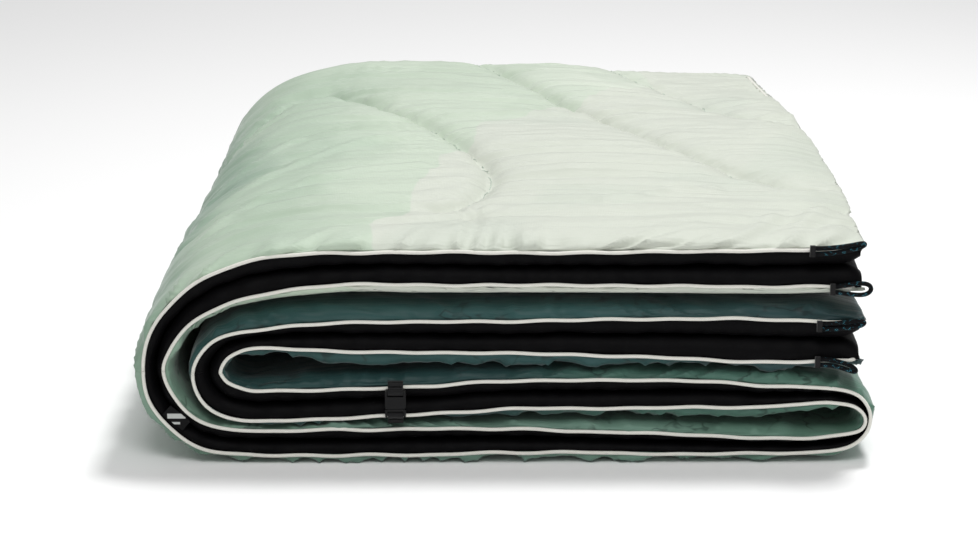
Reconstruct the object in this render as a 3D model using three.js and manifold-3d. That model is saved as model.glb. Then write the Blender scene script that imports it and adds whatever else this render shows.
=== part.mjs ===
// A quilted travel blanket, folded in half across its width and then into four layers.
// Millimetres. +X runs to the right along the stack, +Y from the open edges to the back fold, +Z up.
// The cloth is laid along one path in the XZ plane: along the top layer to the left, round the big left
// fold, along the bottom, round the tight right fold, back along the third layer, round the inner left
// fold and out along the second layer. A section of the doubled cloth in (y, n) is swept along that path.
import * as THREE from 'three';
import { mergeVertices } from 'three/addons/utils/BufferGeometryUtils.js';
import Module from 'manifold-3d';

const wasm = await Module();
wasm.setup();

// ---- driving dimensions ----
const SEAM_Y = -326;            // plane of the sewn front edges
const BACK_Y = 335;             // outside of the back fold, half the blanket's 1.32 m width behind the seam
const CLOTH = 1.0;              // shell and lining, each drawn at this thickness
const GAP = 0.3;                // between pieces that touch
const HALF = 15;                // half thickness of the section as drawn, before it is spread to a layer's own
const SEAM_N = 8.05;            // height of the seam above the middle plane, as drawn
const SHELL_NOSE = 18;          // depth over which the shell rounds down to the seam
const LINING_NOSE = 12;         // the same for the lining
const SLACK = 1.3;              // between the batting and the cloth over it
const BATTING_INSET = 3.5;      // from the seam plane back to the batting
const INNER_LEVEL = 2.2;        // below this height the section is never stretched
const OUTER_SKIN = 1.8;         // nor within this of the outside
const NOSE_STEPS = 2;           // flats round each nose and round the back fold
const BACK_STEPS = 4;
const PIPING_R = 1.2;
const CORD_R = 1.5;

const TOP_Z = 132;              // middle planes of the four layers
const SECOND_Z = 87.3;
const THIRD_Z = 47.4;
const BOTTOM_Z = 15.2;
const TOP_HALF = 21.2;          // half thicknesses of the four layers
const SECOND_HALF = 22.9;
const THIRD_HALF = 16.6;
const BOTTOM_HALF = 15.2;
const FLAP_SEAM = 11;           // height of a flap's seam above its middle plane
const TOP_SPLIT_X = -140;       // where the top flap hinges on the left fold
const INNER_SPLIT_X = -115;     // where the inner flap hinges on the inner left fold
const TOP_END_X = 232;
const INNER_END_X = 229;

const CLIP_X = -73.7;
const CLIP_Y = -331.4;
const CLIP_Z = 40.2;            // the mouth of the female half; heights in the clip are measured from it
const CLIP_W = 13.7;
const CLIP_T = 5.2;
const HOUSING = { top: 12.3, roof: 7.6, cavity: 3.0, corner: 1.4 };
const MALE = { bottom: -6.1, ledge: -1.8, top: -0.3, corner: 1.2 };
const TONGUE = { half: 1.2, root: -0.8, tip: 6.6 };
const PRONG_T = 2.4;
const BAR_R = 1.1;
const WEBBING_W = 10;
const WEBBING_T = 2;            // the doubled strap
const EYE_R = 2.5;              // outside of the strap where it goes round a bar
const UPPER = { bar: 10.9, end: 18, tack: 16.2 };
const LOWER = { bar: -4.7, end: -10.7, tack: -9.1 };
const WEBBING_TACK = { w: 8, d: 0.6, h: 1.8 };
const LABEL = { w: 17, d: 0.6, h: 8.5, at: 0.42 };

// ---- materials ----
const cloth = (color, roughness) => new THREE.MeshStandardMaterial({ color, roughness, metalness: 0 });
const shellCloth = cloth(0xb9cdbf, 0.62);
const seaCloth = cloth(0x6f9a90, 0.62);
const tealCloth = cloth(0x2f5557, 0.62);
const liningCloth = cloth(0x0c0b0d, 0.7);
const battingFill = cloth(0xe9e8e2, 0.95);
const pipingCloth = cloth(0xdcdbcf, 0.75);
const cordBraid = cloth(0x141c22, 0.8);
const webbingCloth = cloth(0x111113, 0.85);
const threadBlack = cloth(0x18181a, 0.8);
const clipPlastic = cloth(0x151517, 0.45);
const labelCloth = cloth(0x0e0e10, 0.8);

const blanket = new THREE.Group();
function add(name, geometry, material, position = [0, 0, 0], turn = [0, 0, 0]) {
  const mesh = new THREE.Mesh(geometry, material);
  mesh.name = name;
  mesh.position.set(...position);
  mesh.rotation.set(...turn);
  blanket.add(mesh);
}

// ---- the path of the cloth ----
const line = (x0, z0, x1, z1) => new THREE.LineCurve(new THREE.Vector2(x0, z0), new THREE.Vector2(x1, z1));
const bend = (...c) => new THREE.CubicBezierCurve(
  new THREE.Vector2(c[0], c[1]), new THREE.Vector2(c[2], c[3]),
  new THREE.Vector2(c[4], c[5]), new THREE.Vector2(c[6], c[7]));
const smooth = (u) => u * u * (3 - 2 * u);

// Each leg of the path has its curve, its steps, and the half thickness and seam height at both ends.
function layAlong(legs) {
  const stations = [];
  legs.forEach(({ curve, steps, half, seam }, leg) => {
    for (let i = leg === 0 ? 0 : 1; i <= steps; i++) {
      const u = i / steps;
      const p = curve.getPoint(u);
      const d = curve.getTangent(u);
      stations.push({
        x: p.x, z: p.y, nx: d.y, nz: -d.x,
        half: THREE.MathUtils.lerp(half[0], half[1], smooth(u)),
        seam: THREE.MathUtils.lerp(seam[0], seam[1], smooth(u)),
      });
    }
  });
  return stations;
}

const LOWER_LEFT = [-232.5, 62, -232.5, 33, -205, 14.6, -160, 14.6];
const basePath = layAlong([
  { curve: bend(TOP_SPLIT_X - GAP, TOP_Z, -195, TOP_Z, -232.5, 100, -232.5, 62), steps: 7,
    half: [TOP_HALF, 11], seam: [FLAP_SEAM, 6.5] },
  { curve: bend(...LOWER_LEFT), steps: 6, half: [11, 13.2], seam: [6.5, 8.5] },
  { curve: bend(-160, 14.6, -115, 14.6, -60, BOTTOM_Z, -20, BOTTOM_Z), steps: 3,
    half: [13.2, BOTTOM_HALF], seam: [8.5, 8.3] },
  { curve: line(-20, BOTTOM_Z, 185, 13), steps: 1, half: [BOTTOM_HALF, 13], seam: [8.3, 5.2] },
  { curve: bend(185, 13, 214, 13, 238, 15, 238, 29.8), steps: 5, half: [13, 7], seam: [5.2, 3] },
  { curve: bend(238, 29.8, 238, 44, 216, THIRD_Z, 185, THIRD_Z), steps: 5,
    half: [7, 14.5], seam: [3, 6.8] },
  { curve: line(185, THIRD_Z, -10, THIRD_Z), steps: 1, half: [14.5, THIRD_HALF], seam: [6.8, 9.8] },
  { curve: bend(-10, THIRD_Z, -50, THIRD_Z, -100, 41.2, -150, 41.2), steps: 4,
    half: [THIRD_HALF, 12.6], seam: [9.8, 10.2] },
  { curve: bend(-150, 41.2, -180, 41.2, -197.5, 47, -197.5, 62), steps: 5,
    half: [12.6, 13], seam: [10.2, 9.6] },
  { curve: bend(-197.5, 62, -197.5, 79, -176, SECOND_Z, -140, SECOND_Z), steps: 5,
    half: [13, 21], seam: [9.6, 10] },
  { curve: line(-140, SECOND_Z, INNER_SPLIT_X - GAP, SECOND_Z), steps: 1,
    half: [21, SECOND_HALF], seam: [10, FLAP_SEAM] },
]);

// A flap is straight, and thins over its last stretch to the piped end edge.
const END_ROUNDING = [[27, 1], [14, 0.96], [5, 0.85], [0, 0.68]];   // distance from the end, share of half
function flapPath(splitX, endX, z, half, outward) {
  const legs = END_ROUNDING.map(([inset, share]) => ({ x: endX - inset, half: half * share }));
  return [{ x: splitX, half }, ...legs].map((s) => ({ ...s, z, seam: FLAP_SEAM, nx: 0, nz: outward }));
}
// The path always runs from the top flap's end to the inner flap's end.
const inOrder = (path) => (path[0].nz > 0 && path[0].x < path[1].x ? path.slice().reverse() : path);
const topPath = flapPath(TOP_SPLIT_X, TOP_END_X, TOP_Z, TOP_HALF, 1);
const innerPath = flapPath(INNER_SPLIT_X, INNER_END_X, SECOND_Z, SECOND_HALF, -1);

// ---- the section of the doubled cloth ----
// One U-shaped line in (y, n): from the upper seam, round the nose, back, round the back fold and home.
function uLine(front, seam, level, nose) {
  const corner = SEAM_Y + nose;
  const points = [];
  for (let i = 0; i <= NOSE_STEPS; i++) {
    const a = (i / NOSE_STEPS) * Math.PI / 2;
    points.push([corner - (corner - front) * Math.cos(a), seam + (level - seam) * Math.sin(a)]);
  }
  const upper = points.slice();
  for (let i = 0; i <= BACK_STEPS; i++) {
    const a = Math.PI / 2 - (i / BACK_STEPS) * Math.PI;
    points.push([BACK_Y - HALF + level * Math.cos(a), level * Math.sin(a)]);
  }
  return points.concat(upper.reverse().map(([y, n]) => [y, -n]));
}
function band(outer, inner) {
  const ring = outer.concat(inner.slice().reverse());
  return new THREE.Shape(ring.map(([y, n]) => new THREE.Vector2(y, n)));
}
const seamUp = SEAM_N + GAP / 2;
const seamDown = SEAM_N - GAP / 2;
const shellSection = band(
  uLine(SEAM_Y, seamUp, HALF, SHELL_NOSE),
  uLine(SEAM_Y + CLOTH, seamUp, HALF - CLOTH, SHELL_NOSE));
const battingSection = band(
  uLine(SEAM_Y + BATTING_INSET, seamUp, HALF - CLOTH - SLACK, SHELL_NOSE),
  uLine(SEAM_Y + BATTING_INSET, seamDown, CLOTH + GAP + SLACK, LINING_NOSE));
const liningSection = band(
  uLine(SEAM_Y + CLOTH, seamDown, CLOTH + GAP, LINING_NOSE),
  uLine(SEAM_Y, seamDown, GAP, LINING_NOSE));

// Spreads a height n of the drawn section to the layer's own half thickness and seam height.
function spread(n, { half, seam }) {
  const size = Math.abs(n);
  const skin = HALF - OUTER_SKIN;
  let out = size;
  if (size >= skin) {
    out = size + half - HALF;
  } else if (size > SEAM_N) {
    out = THREE.MathUtils.mapLinear(size, SEAM_N, skin, seam, half - OUTER_SKIN);
  } else if (size > INNER_LEVEL) {
    out = THREE.MathUtils.mapLinear(size, INNER_LEVEL, SEAM_N, INNER_LEVEL, seam);
  }
  return Math.sign(n) * out;
}

// Extrudes a section one unit per station, then moves each point to its station.
function sweep(section, count, place) {
  const geometry = new THREE.ExtrudeGeometry(section, {
    depth: count - 1, steps: count - 1, bevelEnabled: false, curveSegments: 4 });
  const position = geometry.getAttribute('position');
  for (let i = 0; i < position.count; i++) {
    const p = place(Math.round(position.getZ(i)), position.getX(i), position.getY(i));
    position.setXYZ(i, p[0], p[1], p[2]);
  }
  return geometry;
}
function clothAlong(section, path) {
  return sweep(section, path.length, (k, y, n) => {
    const s = path[path.length - 1 - k];
    const up = spread(n, s);
    return [s.x + s.nx * up, y, s.z + s.nz * up];
  });
}
const disc = (r, sides) => new THREE.Shape(Array.from({ length: sides }, (_, i) => {
  const a = (i + 0.5) * 2 * Math.PI / sides;
  return new THREE.Vector2(r * Math.cos(a), r * Math.sin(a));
}));

// A round tube through a list of points, with a frame carried along so that it never twists.
function tubeThrough(points, radius, sides) {
  const p = points.map((q) => new THREE.Vector3(...q));
  const u = new THREE.Vector3();
  const frames = p.map((here, i) => {
    const t = p[Math.min(i + 1, p.length - 1)].clone().sub(p[Math.max(i - 1, 0)]).normalize();
    if (i === 0) u.set(0, 0, 1).cross(t).normalize();
    u.addScaledVector(t, -u.dot(t)).normalize();
    return { here, u: u.clone(), v: t.clone().cross(u) };
  });
  return sweep(disc(radius, sides), p.length, (k, a, b) => frames[k].here.clone()
    .addScaledVector(frames[k].u, a).addScaledVector(frames[k].v, b).toArray());
}

// ---- cloth panels ----
// On the flaps the batting stops one station short of the end seam.
const panels = [['base', basePath, basePath, seaCloth],
  ['top_flap', topPath, topPath.slice(0, -1), shellCloth],
  ['inner_flap', innerPath, innerPath.slice(0, -1), tealCloth]];
for (const [body, path, filled, print] of panels) {
  add(`shell_${body}`, clothAlong(shellSection, inOrder(path)), print);
  add(`batting_${body}`, clothAlong(battingSection, inOrder(filled)), battingFill);
  add(`lining_${body}`, clothAlong(liningSection, inOrder(path)), liningCloth);
}

// ---- piping ----
const PIPING_Y = SEAM_Y - GAP - PIPING_R;
function pipingAlong(path, side) {
  return path.map((s) => [s.x + side * s.nx * s.seam, PIPING_Y, s.z + side * s.nz * s.seam]);
}
for (const [name, side] of [['piping_base_outer', 1], ['piping_base_inner', -1]]) {
  add(name, tubeThrough(pipingAlong(basePath, side), PIPING_R, 8), pipingCloth);
}
// Along the front edge, round the corner, across the end, round the back fold, and home.
const CORNER = 0.6;
function flapPiping(splitX, endX, z) {
  const x = endX + GAP + PIPING_R;
  const top = z + FLAP_SEAM;
  const out = [
    [splitX, PIPING_Y, top], [endX - 30, PIPING_Y, top], [endX - CORNER, PIPING_Y, top],
    [x - CORNER, PIPING_Y + CORNER, top], [x, SEAM_Y + CORNER, top], [x, BACK_Y - HALF, top]];
  const middle = [];
  for (let i = 1; i < 6; i++) {
    const a = Math.PI / 2 - (i / 6) * Math.PI;
    middle.push([x, BACK_Y - HALF + FLAP_SEAM * Math.cos(a), z + FLAP_SEAM * Math.sin(a)]);
  }
  const home = out.slice().reverse().map(([px, py, pz]) => [px, py, 2 * z - pz]);
  return tubeThrough([...out, ...middle, ...home], PIPING_R, 8);
}
add('piping_top_flap', flapPiping(TOP_SPLIT_X, TOP_END_X, TOP_Z), pipingCloth);
add('piping_inner_flap', flapPiping(INNER_SPLIT_X, INNER_END_X, SECOND_Z), pipingCloth);

// ---- corner loops: each cord leaves its bar tack, runs out past the corner and comes back ----
const LOOP_Y = PIPING_Y - PIPING_R - 0.6 - CORD_R;
const LOOP_STEPS = 14;
const PINCHED = 1.9;            // half the distance between the legs at the tack; eye sets how late they part
const TACK = { w: 3.4, d: 2.4, h: 7.4 };
const loops = [
  { name: 'a', x: 197, z: 146.3, reach: 31.5, rise: 4.6, open: 3.6, eye: 7 },
  { name: 'b', x: 211, z: 120.6, reach: 22.8, rise: 0.4, open: 7, eye: 1.4 },
  { name: 'c', x: 203.4, z: 95.6, reach: 27, rise: 2.4, open: 3.8, eye: 3 },
  { name: 'd', x: 203, z: 71.2, reach: 23.3, rise: -6, open: 3.8, eye: 4 },
];
for (const { name, x, z, reach, rise, open, eye } of loops) {
  const points = [];
  for (let i = 0; i <= LOOP_STEPS; i++) {
    const a = Math.PI * i / LOOP_STEPS;
    const along = Math.sin(a) ** 0.8;
    const across = Math.cos(a) * (PINCHED + (open - PINCHED) * along ** eye);
    points.push([x + TACK.w / 2 + GAP + reach * along, LOOP_Y, z + across + rise * along ** 2]);
  }
  add(`corner_loop_${name}`, tubeThrough(points, CORD_R, 8), cordBraid);
  add(`loop_tack_${name}`, new THREE.BoxGeometry(TACK.w, TACK.d, TACK.h), threadBlack, [x, LOOP_Y, z]);
}

// ---- cape clip ----
const solidOf = (geometry) => {
  const g = geometry.index ? geometry.clone() : geometry;
  g.deleteAttribute('normal');
  g.deleteAttribute('uv');
  const m = mergeVertices(g, 1e-4);
  return new wasm.Manifold(new wasm.Mesh({ numProp: 3,
    vertProperties: new Float32Array(m.getAttribute('position').array),
    triVerts: new Uint32Array(m.index.array) }));
};
const geometryOf = (solid) => {
  const m = solid.getMesh();
  const g = new THREE.BufferGeometry();
  g.setAttribute('position', new THREE.BufferAttribute(m.vertProperties, 3));
  g.setIndex(new THREE.BufferAttribute(m.triVerts, 1));
  return g;
};
const block = (x0, x1, y0, y1, z0, z1) => solidOf(
  new THREE.BoxGeometry(x1 - x0, y1 - y0, z1 - z0).translate((x0 + x1) / 2, (y0 + y1) / 2, (z0 + z1) / 2));
const bar = (z, r, length) => solidOf(
  new THREE.CylinderGeometry(r, r, length, 16).rotateZ(Math.PI / 2).translate(0, 0, z));
// A plate with rounded corners, centred on the clip's axis, its thickness along Y.
function plate(w, z0, z1, thick, r) {
  const s = new THREE.Shape();
  const x = w / 2;
  s.moveTo(-x + r, z0);
  s.lineTo(x - r, z0);
  s.absarc(x - r, z0 + r, r, -Math.PI / 2, 0);
  s.absarc(x - r, z1 - r, r, 0, Math.PI / 2);
  s.absarc(-x + r, z1 - r, r, Math.PI / 2, Math.PI);
  s.absarc(-x + r, z0 + r, r, Math.PI, 1.5 * Math.PI);
  return solidOf(new THREE.ExtrudeGeometry(s, { depth: thick, bevelEnabled: false, curveSegments: 4 })
    .rotateX(Math.PI / 2).translate(0, thick / 2, 0));
}
const SLOT_X = WEBBING_W / 2 + 0.3;
const halfT = CLIP_T / 2;
const female = plate(CLIP_W, 0, HOUSING.top, CLIP_T, HOUSING.corner)
  .subtract(block(-CLIP_W, CLIP_W, -HOUSING.cavity / 2, HOUSING.cavity / 2, -1, HOUSING.roof))
  .subtract(block(-SLOT_X, SLOT_X, -halfT - 1, halfT + 1, HOUSING.roof + 0.6, HOUSING.top + 1))
  .add(bar(UPPER.bar, BAR_R, 2 * SLOT_X + 0.8));
const male = plate(CLIP_W, MALE.bottom, MALE.top, CLIP_T, MALE.corner)
  .subtract(block(-SLOT_X, SLOT_X, -halfT - 1, halfT + 1, MALE.bottom - 1, MALE.ledge))
  .add(bar(LOWER.bar, BAR_R, 2 * SLOT_X + 0.8))
  .add(block(-TONGUE.half, TONGUE.half, -TONGUE.half, TONGUE.half, TONGUE.root, TONGUE.tip));
const clipSpot = [CLIP_X, CLIP_Y, CLIP_Z];
add('clip_female', geometryOf(female), clipPlastic, clipSpot);
add('clip_male', geometryOf(male), clipPlastic, clipSpot);

// Each prong is a thin arm with a broad thumb head that shows at the side of the housing.
function prong(side) {
  const s = new THREE.Shape();
  const at = (x, z) => [side * x, z];
  s.moveTo(...at(3.6, MALE.top + GAP));
  s.lineTo(...at(5.0, MALE.top + GAP));
  s.lineTo(...at(5.2, 2.6));
  s.lineTo(...at(6.6, 3.1));
  s.quadraticCurveTo(...at(7.1, 5.2), ...at(5.6, 7.0));
  s.lineTo(...at(4.2, 7.0));
  s.lineTo(...at(3.8, 3.4));
  return new THREE.ExtrudeGeometry(s, { depth: PRONG_T, bevelEnabled: false, curveSegments: 5 })
    .rotateX(Math.PI / 2).translate(0, PRONG_T / 2, 0);
}
add('prong_left', prong(-1), clipPlastic, clipSpot);
add('prong_right', prong(1), clipPlastic, clipSpot);

// A webbing tab: a doubled strap, stitched at its end, and a round eye about the clip's bar.
function webbing(barZ, endZ) {
  const front = EYE_R - WEBBING_T;
  const dir = Math.sign(endZ - barZ);
  const s = new THREE.Shape();
  const start = Math.asin(front / EYE_R);
  s.moveTo(EYE_R, endZ);
  s.lineTo(EYE_R, barZ);
  for (let i = 1; i <= 12; i++) {
    const a = -dir * (i / 12) * (1.5 * Math.PI + start);
    s.lineTo(EYE_R * Math.cos(a), barZ + EYE_R * Math.sin(a));
  }
  s.lineTo(front, endZ);
  const hole = new THREE.Path();
  hole.absarc(0, barZ, BAR_R + GAP, 0, 2 * Math.PI);
  s.holes.push(hole);
  return new THREE.ExtrudeGeometry(s, { depth: WEBBING_W, bevelEnabled: false, curveSegments: 6 })
    .rotateX(Math.PI / 2).rotateZ(Math.PI / 2).translate(-WEBBING_W / 2, 0, 0);
}
for (const [name, { bar: barZ, end, tack }] of [['upper', UPPER], ['lower', LOWER]]) {
  const { w, d, h } = WEBBING_TACK;
  const stitchY = CLIP_Y + EYE_R - WEBBING_T - GAP - d / 2;
  add(`webbing_${name}`, webbing(barZ, end), webbingCloth, clipSpot);
  add(`webbing_tack_${name}`, new THREE.BoxGeometry(w, d, h), threadBlack, [CLIP_X, stitchY, CLIP_Z + tack]);
}

// ---- woven label, across the lining edge on the lower left of the big fold ----
const spot = bend(...LOWER_LEFT).getPoint(LABEL.at);
const run = bend(...LOWER_LEFT).getTangent(LABEL.at);
add('woven_label', new THREE.BoxGeometry(LABEL.w, LABEL.d, LABEL.h), labelCloth,
  [spot.x, SEAM_Y - GAP - LABEL.d / 2, spot.y], [0, -Math.atan2(run.y, run.x), 0]);

export default blanket;
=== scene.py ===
import math

import bpy
import numpy as np
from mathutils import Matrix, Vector


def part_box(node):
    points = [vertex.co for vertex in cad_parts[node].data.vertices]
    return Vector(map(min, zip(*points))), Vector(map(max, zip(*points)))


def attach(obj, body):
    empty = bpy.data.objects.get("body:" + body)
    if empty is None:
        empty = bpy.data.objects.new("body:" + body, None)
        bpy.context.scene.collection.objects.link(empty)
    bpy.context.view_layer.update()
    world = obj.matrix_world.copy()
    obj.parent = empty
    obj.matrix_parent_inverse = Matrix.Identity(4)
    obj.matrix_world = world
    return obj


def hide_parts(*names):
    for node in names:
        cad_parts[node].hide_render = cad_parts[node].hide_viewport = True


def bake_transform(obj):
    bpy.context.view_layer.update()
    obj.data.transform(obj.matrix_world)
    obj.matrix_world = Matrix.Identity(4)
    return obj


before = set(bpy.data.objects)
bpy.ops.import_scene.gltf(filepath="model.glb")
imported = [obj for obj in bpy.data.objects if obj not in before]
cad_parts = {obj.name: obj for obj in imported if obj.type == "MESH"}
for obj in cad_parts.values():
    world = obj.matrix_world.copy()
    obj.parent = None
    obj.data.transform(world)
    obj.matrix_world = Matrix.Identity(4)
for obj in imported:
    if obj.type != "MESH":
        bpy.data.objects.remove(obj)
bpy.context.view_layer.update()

# ---------------------------------------------------------------- sizes, in metres
WIDTH = 1.32                    # the blanket's cut width; folded in half at the back
SEAM_Y = -0.326
BACK_Y = 0.335
PIPING_R = 0.0012
PIPING_Y = SEAM_Y - 0.0020
LINING_LEVEL = 0.0006           # the lining's distance from the middle plane, inside the fold

# The doubled strip's middle line in the XZ plane, in millimetres, from the top layer's right end round
# to the second layer's right end: x, z, seam height, and half thickness on the outer and inner sides.
STRIP = [
    (228, 134.2, 13.8, 18.5, 23.5), (205, 134.3, 12.6, 19, 24), (171, 133.6, 12, 19, 24),
    (125, 133.8, 11.7, 19.2, 24), (60, 133.7, 11.3, 19.3, 24), (0, 133.8, 11.1, 19.3, 24),
    (-61, 134, 10.8, 19.2, 24), (-92, 134.2, 10.6, 18.8, 23.5), (-122, 133.3, 11.3, 18.6, 23),
    (-160, 128.7, 12.2, 16.8, 20.5), (-188, 120, 11.6, 16, 17.5), (-205.5, 110, 10.4, 15.3, 15.5),
    (-219.5, 96.8, 9.2, 14.7, 13.5), (-228.4, 82.2, 7.9, 13.8, 13), (-232.6, 65.9, 6.5, 13, 12.5),
    (-229.2, 47.9, 7.2, 12.4, 13), (-216, 29.5, 7.9, 13, 13), (-199.5, 18.8, 8.2, 13.5, 12.5),
    (-166.3, 14.6, 8.5, 14, 12.5), (-124.5, 14.8, 8.8, 14.4, 12.8), (-61.7, 15.2, 9.2, 14.8, 14.2),
    (0, 16, 8.3, 15.6, 13.5), (64, 14.6, 7.3, 14.2, 14.5), (127.5, 13.1, 6.25, 12.8, 14.5),
    (171, 12.4, 5.2, 12.2, 12.5), (205, 12.8, 4.9, 12, 9.5), (227.2, 16.6, 4, 9, 6.5),
    (235.8, 22.5, 2.6, 6.5, 5.5), (238.2, 29.5, 2.3, 5.5, 5.5), (236.6, 36.2, 2.8, 6.5, 5.5),
    (229.8, 43.3, 3.7, 8.5, 7), (216, 46.8, 4.5, 11, 11), (190, 47.2, 5.8, 15, 14.5),
    (166, 46.6, 7.5, 17, 16), (127, 48.3, 9.4, 16.6, 17.5), (60, 48.2, 9.7, 16.5, 17.2),
    (0, 47.7, 9.85, 17.2, 16), (-50, 44.5, 9.8, 19.5, 14.3), (-82.3, 43, 10.1, 20, 13.2),
    (-124.2, 41.1, 10.3, 19, 12.8), (-150, 40.7, 10.5, 16, 12.6), (-175, 41.3, 10.9, 13, 13),
    (-191.5, 48.8, 10.5, 12.5, 13.5), (-197.5, 63, 9.6, 12.5, 14), (-190, 77.3, 7.6, 11, 15),
    (-176.5, 84.2, 6.6, 10.5, 17), (-156, 86.8, 6.8, 13, 20), (-123.2, 87.6, 8.85, 18, 22),
    (-61, 87.6, 10.6, 21, 22), (0, 87.5, 10.6, 21.5, 22), (60, 87.2, 12, 21, 22.3),
    (126, 86.2, 13.6, 20.6, 23.2), (165, 85, 14.7, 20.8, 24.5), (204, 84.5, 13.3, 21, 24.5),
    (229, 84.5, 13, 21, 24),
]


# ---------------------------------------------------------------- small helpers
def clamp01(x):
    return np.clip(x, 0.0, 1.0)


def smooth(x):
    x = clamp01(x)
    return x * x * (3 - 2 * x)


LATTICES = {}


def noise(x, y, seed):
    """Smooth value noise from -1 to 1, one lattice step per unit."""
    if seed not in LATTICES:
        LATTICES[seed] = np.random.RandomState(seed).uniform(-1, 1, (128, 128))
    table = LATTICES[seed]
    x, y = np.broadcast_arrays(np.asarray(x, float), np.asarray(y, float))
    i, j = np.floor(x).astype(int), np.floor(y).astype(int)
    fx, fy = x - i, y - j
    fx, fy = fx * fx * fx * (fx * (6 * fx - 15) + 10), fy * fy * fy * (fy * (6 * fy - 15) + 10)
    a, b = table[i % 128, j % 128], table[(i + 1) % 128, j % 128]
    c, d = table[i % 128, (j + 1) % 128], table[(i + 1) % 128, (j + 1) % 128]
    return a * (1 - fx) * (1 - fy) + b * fx * (1 - fy) + c * (1 - fx) * fy + d * fx * fy


def spline(points, per_leg=24):
    """A Catmull-Rom curve through the rows of points, sampled evenly in each leg."""
    p = np.array(points, float)
    p = np.vstack([2 * p[0] - p[1], p, 2 * p[-1] - p[-2]])
    knots = np.concatenate([[0], np.cumsum(np.sqrt(np.linalg.norm(np.diff(p[:, :2], axis=0), axis=1)))])
    out = []
    for k in range(1, len(p) - 2):
        t = np.linspace(knots[k], knots[k + 1], per_leg, endpoint=k == len(p) - 3)[:, None]
        t0, t1, t2, t3 = knots[k - 1:k + 3]
        a1 = (t1 - t) / (t1 - t0) * p[k - 1] + (t - t0) / (t1 - t0) * p[k]
        a2 = (t2 - t) / (t2 - t1) * p[k] + (t - t1) / (t2 - t1) * p[k + 1]
        a3 = (t3 - t) / (t3 - t2) * p[k + 1] + (t - t2) / (t3 - t2) * p[k + 2]
        b1 = (t2 - t) / (t2 - t0) * a1 + (t - t0) / (t2 - t0) * a2
        b2 = (t3 - t) / (t3 - t1) * a2 + (t - t1) / (t3 - t1) * a3
        out.append((t2 - t) / (t2 - t1) * b1 + (t - t1) / (t2 - t1) * b2)
    return np.vstack(out)


class Path:
    """The strip's middle line by flat length u, with its normal, seam heights and half thicknesses."""

    def __init__(self, rows):
        s = spline(rows) / 1000.0
        self.u = np.concatenate([[0], np.cumsum(np.hypot(*np.diff(s[:, :2], axis=0).T))])
        self.length = self.u[-1]
        d = np.gradient(s[:, :2], self.u, axis=0)
        d /= np.linalg.norm(d, axis=1)[:, None]
        self.columns = [s[:, 0], s[:, 1], d[:, 1], -d[:, 0], s[:, 2], s[:, 3], s[:, 4]]

    def at(self, u):
        """x, z, normal x, normal z, seam height, outer and inner half thickness."""
        return [np.interp(u, self.u, c) for c in self.columns]


PATH = Path(STRIP)
SPLIT_TOP_U = float(PATH.u[np.argmin(PATH.columns[0][PATH.u < 0.8])])
INNER_PART = PATH.u > 1.3
SPLIT_INNER_U = float(PATH.u[INNER_PART][np.argmin(PATH.columns[0][INNER_PART])])
RIGHT_PART = (PATH.u > 0.8) & (PATH.u < 1.3)
RIGHT_FOLD_U = float(PATH.u[RIGHT_PART][np.argmax(PATH.columns[0][RIGHT_PART])])


def grid_faces(nu, nv, flip=False):
    i, j = np.meshgrid(np.arange(nu - 1), np.arange(nv - 1), indexing="ij")
    a = (i * nv + j).ravel()
    quads = np.stack([a, a + nv, a + nv + 1, a + 1], axis=1)
    return quads[:, ::-1] if flip else quads


def mesh_object(name, points, quads, flat=None, material=None, attributes=()):
    """A smooth mesh from points and quads, with flat cloth coordinates in a UV layer named flat."""
    mesh = bpy.data.meshes.new(name)
    mesh.vertices.add(len(points))
    mesh.vertices.foreach_set("co", np.asarray(points, np.float32).ravel())
    quads = np.asarray(quads, np.int32)
    mesh.loops.add(quads.size)
    mesh.loops.foreach_set("vertex_index", quads.ravel())
    mesh.polygons.add(len(quads))
    mesh.polygons.foreach_set("loop_start", np.arange(0, quads.size, quads.shape[1], dtype=np.int32))
    mesh.update(calc_edges=True)
    mesh.polygons.foreach_set("use_smooth", np.ones(len(quads), bool))
    if flat is not None:
        layer = mesh.uv_layers.new(name="flat")
        layer.data.foreach_set("uv", np.asarray(flat, np.float32)[quads.ravel()].ravel())
    for label, values in attributes:
        layer = mesh.attributes.new(label, "FLOAT", "POINT")
        layer.data.foreach_set("value", np.asarray(values, np.float32).ravel())
    mesh.validate()
    obj = bpy.data.objects.new(name, mesh)
    bpy.context.scene.collection.objects.link(obj)
    if material:
        mesh.materials.append(material)
    return obj


def tube_points(path, radius, sides, start_up=(0, 0, 1)):
    """Rings of points round a path, on a frame carried along so that it never twists."""
    p = np.asarray(path, float)
    t = np.gradient(p, axis=0)
    t /= np.linalg.norm(t, axis=1)[:, None]
    u = np.cross(start_up, t[0])
    radius = np.broadcast_to(radius, len(p))
    rings = []
    angles = np.arange(sides) * 2 * math.pi / sides
    for k in range(len(p)):
        u = u - u.dot(t[k]) * t[k]
        u /= np.linalg.norm(u)
        v = np.cross(t[k], u)
        rings.append(p[k] + radius[k] * (np.cos(angles)[:, None] * u + np.sin(angles)[:, None] * v))
    return np.array(rings)


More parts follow.
